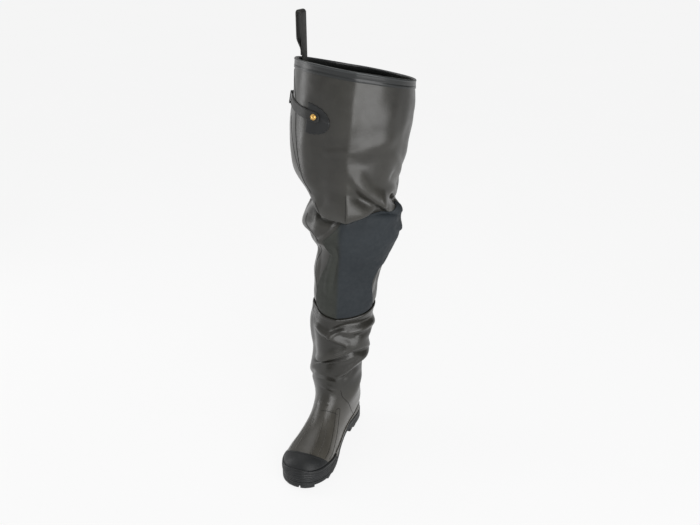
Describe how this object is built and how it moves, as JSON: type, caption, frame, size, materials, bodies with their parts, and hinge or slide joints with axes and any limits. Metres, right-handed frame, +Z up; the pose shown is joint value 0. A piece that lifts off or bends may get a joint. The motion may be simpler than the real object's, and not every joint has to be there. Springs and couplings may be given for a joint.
{
  "type": "hip wader",
  "caption": "Tall hip wader for the right foot: moulded rubber boot with a lug sole, a long slack rubberised leg, knee pad, side strap with snap and a belt loop.",
  "frame": {"origin": "on the floor, under the middle of the heel block", "axes": "+Z up the leg, toe towards -Y, inner (medial) side of the leg towards +X"},
  "size_m": [0.2382, 0.3418, 0.9178],
  "materials": {
    "olive_rubber": "semi-gloss dark olive-grey rubber, smooth, with soft creases",
    "black_rubber": "semi-gloss black rubber",
    "lining": "grey knitted lining on a foam footbed",
    "matt_pad": "matt blue-black rubber with a fine grain",
    "strap_rubber": "satin dark olive rubber strap",
    "brass": "polished brass press stud"
  },
  "bodies": {
    "root": {"boot_upper": "olive_rubber", "leg_shaft": "olive_rubber", "outsole": "black_rubber", "insole": "lining", "toe_cap": "black_rubber", "toe_bumper": "black_rubber", "side_foxing": "olive_rubber", "knee_pad": "matt_pad", "collar_band": "black_rubber", "strap_patch": "black_rubber", "side_strap": "strap_rubber", "strap_keeper": "black_rubber", "snap": "brass", "belt_strap": "strap_rubber"}
  },
  "joints": []
}
